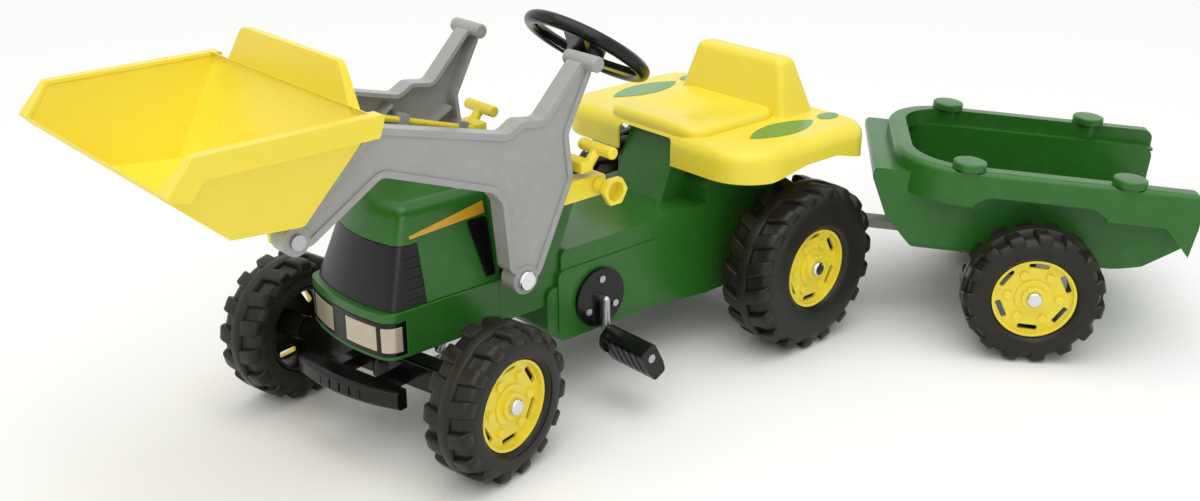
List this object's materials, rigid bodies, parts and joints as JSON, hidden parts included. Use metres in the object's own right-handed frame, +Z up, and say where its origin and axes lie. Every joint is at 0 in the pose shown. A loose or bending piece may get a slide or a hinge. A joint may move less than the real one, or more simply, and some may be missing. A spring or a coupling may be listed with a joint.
{
  "type": "ride on pedal tractor with loader and trailer",
  "caption": "Child's ride-on pedal tractor with a lifting front loader and tipping bucket, linked steering, chain drive and a hitched single-axle trailer.",
  "frame": {"origin": "centre of the bounding box on the ground", "axes": "+X the way the tractor drives, +Y to its left, +Z up"},
  "size_m": [1.5726, 0.8268, 0.535],
  "materials": {
    "green_plastic": "gloss",
    "yellow_plastic": "gloss",
    "grey_plastic": "satin",
    "black_plastic": "gloss",
    "tyre_plastic": "matt",
    "lamp_plastic": "gloss",
    "drawbar_plastic": "satin",
    "film": "printed film",
    "green_film": "printed film",
    "steel": "zinc plated",
    "chrome": "bright"
  },
  "bodies": {
    "tractor": {"chassis_body": "green_plastic", "hood": "green_plastic", "nose_cowl": "green_plastic", "lamp_panel": "black_plastic", "grille": "black_plastic", "lamps": "lamp_plastic", "hood_stripes": "film", "kingpin": "steel", "seat": "yellow_plastic", "fender_inlays": "green_film", "crank_flanges": "black_plastic", "flange_screws": "steel", "rear_axle_bushes": "black_plastic", "drive_chain": "steel", "column_boot": "black_plastic", "loader_pivot_rod": "steel", "pivot_spacers": "black_plastic", "pivot_caps": "chrome", "tow_hitch": "black_plastic", "tow_pin": "steel"},
    "front_axle": {"front_bumper": "black_plastic", "front_axle_beam": "black_plastic", "front_axle_rods": "steel", "front_axle_caps": "chrome"},
    "steering": {"steering_wheel": "black_plastic", "steering_column": "steel"},
    "front_left_wheel": {"front_left_tyre": "tyre_plastic", "front_left_hub": "yellow_plastic"},
    "front_right_wheel": {"front_right_tyre": "tyre_plastic", "front_right_hub": "yellow_plastic"},
    "rear_drive": {"rear_axle": "steel", "rear_sprocket": "steel", "rear_axle_caps": "chrome", "rear_left_tyre": "tyre_plastic", "rear_left_hub": "yellow_plastic"},
    "rear_right_wheel": {"rear_right_tyre": "tyre_plastic", "rear_right_hub": "yellow_plastic"},
    "crank": {"crankshaft": "steel", "crank_sprocket": "steel"},
    "pedal_left": {"pedal_left": "black_plastic"},
    "pedal_right": {"pedal_right": "black_plastic"},
    "loader": {"loader_arm_left": "grey_plastic", "loader_arm_right": "grey_plastic", "lever_brackets": "yellow_plastic", "bucket_bolts": "steel"},
    "pull_rod_left": {"pull_rod_left": "yellow_plastic"},
    "pull_rod_right": {"pull_rod_right": "yellow_plastic"},
    "hand_knob_left": {"hand_knob_left": "yellow_plastic"},
    "hand_knob_right": {"hand_knob_right": "yellow_plastic"},
    "bucket": {"bucket": "yellow_plastic"},
    "trailer": {"trailer_tub": "green_plastic", "drawbar": "drawbar_plastic", "trailer_axle": "steel", "stake_plugs": "green_plastic", "axle_brackets": "black_plastic", "trailer_axle_caps": "chrome"},
    "trailer_left_wheel": {"trailer_left_tyre": "tyre_plastic", "trailer_left_hub": "yellow_plastic"},
    "trailer_right_wheel": {"trailer_right_tyre": "tyre_plastic", "trailer_right_hub": "yellow_plastic"}
  },
  "joints": [
    {"name": "front_axle_turn", "type": "hinge", "parent": "tractor", "child": "front_axle", "pos_m": [0.43857, -0.18093, 0.1], "axis": [0, 0, 1], "range_deg": [-30, 6]},
    {"name": "steering_turn", "type": "hinge", "parent": "tractor", "child": "steering", "pos_m": [0.09457, -0.18093, 0.457], "axis": [-0.585, 0, 0.8111], "range_deg": [-75, 15]},
    {"name": "front_left_spin", "type": "hinge", "parent": "front_axle", "child": "front_left_wheel", "pos_m": [0.43857, -0.18093, 0.1], "axis": [-0.2079, 0.9781, 0], "continuous": true},
    {"name": "front_right_spin", "type": "hinge", "parent": "front_axle", "child": "front_right_wheel", "pos_m": [0.43857, -0.18093, 0.1], "axis": [-0.2079, 0.9781, 0], "continuous": true},
    {"name": "rear_drive_spin", "type": "hinge", "parent": "tractor", "child": "rear_drive", "pos_m": [-0.16143, -0.18093, 0.125], "axis": [0, 1, 0], "continuous": true},
    {"name": "rear_right_spin", "type": "hinge", "parent": "tractor", "child": "rear_right_wheel", "pos_m": [-0.16143, -0.18093, 0.125], "axis": [0, 1, 0], "continuous": true},
    {"name": "crank_spin", "type": "hinge", "parent": "tractor", "child": "crank", "pos_m": [0.16057, -0.18093, 0.139], "axis": [0, 1, 0], "continuous": true},
    {"name": "pedal_left_spin", "type": "hinge", "parent": "crank", "child": "pedal_left", "pos_m": [0.16057, -0.18093, 0.084], "axis": [0, 1, 0], "continuous": true},
    {"name": "pedal_right_spin", "type": "hinge", "parent": "crank", "child": "pedal_right", "pos_m": [0.16057, -0.18093, 0.194], "axis": [0, 1, 0], "continuous": true},
    {"name": "loader_lift", "type": "hinge", "parent": "tractor", "child": "loader", "pos_m": [0.31057, -0.18093, 0.217], "axis": [0, 1, 0], "range_deg": [0, 50]},
    {"name": "bucket_tip", "type": "hinge", "parent": "loader", "child": "bucket", "pos_m": [0.62357, -0.18093, 0.353], "axis": [0, 1, 0], "range_deg": [0, 70]},
    {"name": "pull_rod_left_slide", "type": "slide", "parent": "loader", "child": "pull_rod_left", "axis": [-0.9558, 0, -0.2939], "range_m": [0, 0.012]},
    {"name": "pull_rod_right_slide", "type": "slide", "parent": "loader", "child": "pull_rod_right", "axis": [-0.9558, 0, -0.2939], "range_m": [0, 0.012]},
    {"name": "hand_knob_left_turn", "type": "hinge", "parent": "loader", "child": "hand_knob_left", "pos_m": [0.18857, -0.18093, 0.315], "axis": [0, 1, 0], "continuous": true},
    {"name": "hand_knob_right_turn", "type": "hinge", "parent": "loader", "child": "hand_knob_right", "pos_m": [0.18857, -0.18093, 0.315], "axis": [0, 1, 0], "continuous": true},
    {"name": "trailer_yaw", "type": "hinge", "parent": "tractor", "child": "trailer", "pos_m": [-0.24243, -0.18093, 0.132], "axis": [0, 0, 1], "range_deg": [-0.66, 99.34]},
    {"name": "trailer_left_spin", "type": "hinge", "parent": "trailer", "child": "trailer_left_wheel", "pos_m": [-0.51414, 0.1354, 0.1], "axis": [0.7586, 0.6516, 0], "continuous": true},
    {"name": "trailer_right_spin", "type": "hinge", "parent": "trailer", "child": "trailer_right_wheel", "pos_m": [-0.51414, 0.1354, 0.1], "axis": [0.7586, 0.6516, 0], "continuous": true}
  ],
  "couplings": [
    {"joint": "steering_turn", "follows": "front_axle_turn", "ratio": 2.5},
    {"joint": "crank_spin", "follows": "rear_drive_spin", "ratio": 0.8}
  ]
}
